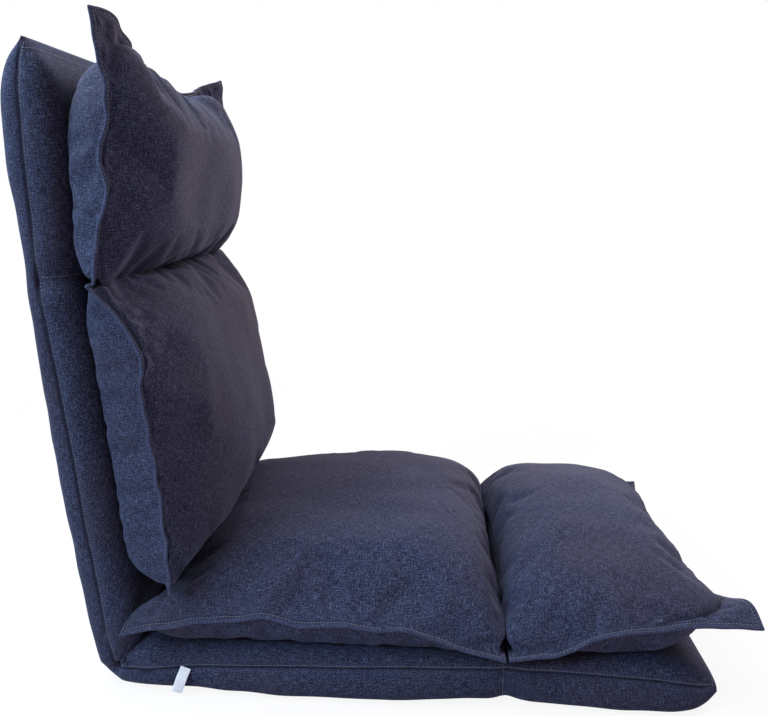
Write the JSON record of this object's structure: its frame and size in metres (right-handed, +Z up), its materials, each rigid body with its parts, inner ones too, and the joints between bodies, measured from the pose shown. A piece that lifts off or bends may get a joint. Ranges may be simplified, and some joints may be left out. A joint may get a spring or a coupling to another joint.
{
  "type": "folding floor chair",
  "caption": "Folding floor chair: hinged seat, back, head and foot pads in one denim cover, with overlay pillows and ratchet hinges.",
  "frame": {"origin": "on the floor, under the middle of the seat pad, halfway between its two hinge axes", "axes": "+Z up, the sitter faces -Y, +X to the sitter's left, hinge axes along X"},
  "size_m": [0.54, 0.9097, 0.8451],
  "materials": {
    "denim": "indigo denim, plain weave with pale topstitching",
    "denim_lit": "indigo denim, plain weave with pale topstitching",
    "pillow_denim": "indigo denim, plain weave with pale topstitching",
    "foam": "open-cell polyurethane foam slab",
    "fibre": "loose polyester fibre filling",
    "tube_steel": "black powder-coated steel tube",
    "zinc_plate": "zinc-plated pressed steel",
    "strap": "woven elastic webbing",
    "tag_satin": "blank satin ribbon"
  },
  "bodies": {
    "seat": {"seat_frame": "tube_steel", "seat_webbing": "strap", "seat_foam_top": "foam", "seat_foam_base": "foam", "seat_cover_top": "denim", "seat_cover_base": "denim", "seat_pillow_top": "pillow_denim", "seat_pillow_under": "pillow_denim", "seat_pillow_filling": "fibre", "side_tag": "tag_satin", "back_fold_sleeve": "denim", "foot_fold_sleeve": "denim", "back_gear_right": "zinc_plate", "back_gear_left": "zinc_plate", "foot_gear_right": "zinc_plate", "foot_gear_left": "zinc_plate"},
    "back": {"back_frame": "tube_steel", "back_webbing": "strap", "back_foam_front": "foam", "back_foam_rear": "foam", "back_cover_front": "denim", "back_cover_rear": "denim_lit", "lumbar_pillow_front": "pillow_denim", "lumbar_pillow_rear": "pillow_denim", "lumbar_pillow_filling": "fibre", "head_fold_sleeve": "denim", "back_cheeks_right": "zinc_plate", "back_cheeks_left": "zinc_plate", "back_hinge_rivets": "zinc_plate", "back_pawl_springs": "zinc_plate", "head_gear_right": "zinc_plate", "head_gear_left": "zinc_plate"},
    "head": {"head_frame": "tube_steel", "head_foam_front": "foam", "head_foam_rear": "foam", "head_cover_front": "denim", "head_cover_rear": "denim_lit", "head_pillow_front": "pillow_denim", "head_pillow_rear": "pillow_denim", "head_pillow_filling": "fibre", "head_cheeks": "zinc_plate", "head_hinge_rivets": "zinc_plate", "head_pawl_springs": "zinc_plate"},
    "foot": {"foot_frame": "tube_steel", "foot_foam_top": "foam", "foot_foam_base": "foam", "foot_cover_top": "denim", "foot_cover_base": "denim", "foot_pillow_top": "pillow_denim", "foot_pillow_under": "pillow_denim", "foot_pillow_filling": "fibre", "foot_cheeks": "zinc_plate", "foot_hinge_rivets": "zinc_plate", "foot_pawl_springs": "zinc_plate"},
    "back_pawl_right": {"back_pawl_right": "zinc_plate"},
    "back_pawl_left": {"back_pawl_left": "zinc_plate"},
    "head_pawl_right": {"head_pawl_right": "zinc_plate"},
    "head_pawl_left": {"head_pawl_left": "zinc_plate"},
    "foot_pawl_right": {"foot_pawl_right": "zinc_plate"},
    "foot_pawl_left": {"foot_pawl_left": "zinc_plate"}
  },
  "joints": [
    {"name": "back_recline", "type": "hinge", "parent": "seat", "child": "back", "pos_m": [0, 0.255, 0.04], "axis": [-1, 0, 0], "range_deg": [-60, 85], "deforming": ["back_fold_sleeve", "seat_pillow_top", "seat_pillow_under", "seat_pillow_filling", "lumbar_pillow_front", "lumbar_pillow_rear", "lumbar_pillow_filling"]},
    {"name": "head_recline", "type": "hinge", "parent": "back", "child": "head", "pos_m": [0, 0.29945, 0.54806], "axis": [1, 0, 0], "range_deg": [-5, 85], "deforming": ["head_fold_sleeve", "head_pillow_front", "head_pillow_rear", "head_pillow_filling"]},
    {"name": "foot_recline", "type": "hinge", "parent": "seat", "child": "foot", "pos_m": [0, -0.255, 0.04], "axis": [-1, 0, 0], "range_deg": [0, 90], "deforming": ["foot_fold_sleeve", "foot_pillow_top", "foot_pillow_under", "foot_pillow_filling"]},
    {"name": "back_pawl_right_swing", "type": "hinge", "parent": "back", "child": "back_pawl_right", "pos_m": [-0.205, 0.27161, 0.05762], "axis": [1, 0, 0], "range_deg": [0, 8], "stiffness_Nm_per_rad": 0.02},
    {"name": "back_pawl_left_swing", "type": "hinge", "parent": "back", "child": "back_pawl_left", "pos_m": [0.205, 0.27161, 0.05762], "axis": [1, 0, 0], "range_deg": [0, 8], "stiffness_Nm_per_rad": 0.02},
    {"name": "head_pawl_right_swing", "type": "hinge", "parent": "head", "child": "head_pawl_right", "pos_m": [-0.205, 0.31446, 0.56706], "axis": [1, 0, 0], "range_deg": [0, 8], "stiffness_Nm_per_rad": 0.02},
    {"name": "head_pawl_left_swing", "type": "hinge", "parent": "head", "child": "head_pawl_left", "pos_m": [0.205, 0.31446, 0.56706], "axis": [1, 0, 0], "range_deg": [0, 8], "stiffness_Nm_per_rad": 0.02},
    {"name": "foot_pawl_right_swing", "type": "hinge", "parent": "foot", "child": "foot_pawl_right", "pos_m": [-0.205, -0.274, 0.02499], "axis": [-1, 0, 0], "range_deg": [0, 8], "stiffness_Nm_per_rad": 0.02},
    {"name": "foot_pawl_left_swing", "type": "hinge", "parent": "foot", "child": "foot_pawl_left", "pos_m": [0.205, -0.274, 0.02499], "axis": [-1, 0, 0], "range_deg": [0, 8], "stiffness_Nm_per_rad": 0.02}
  ]
}
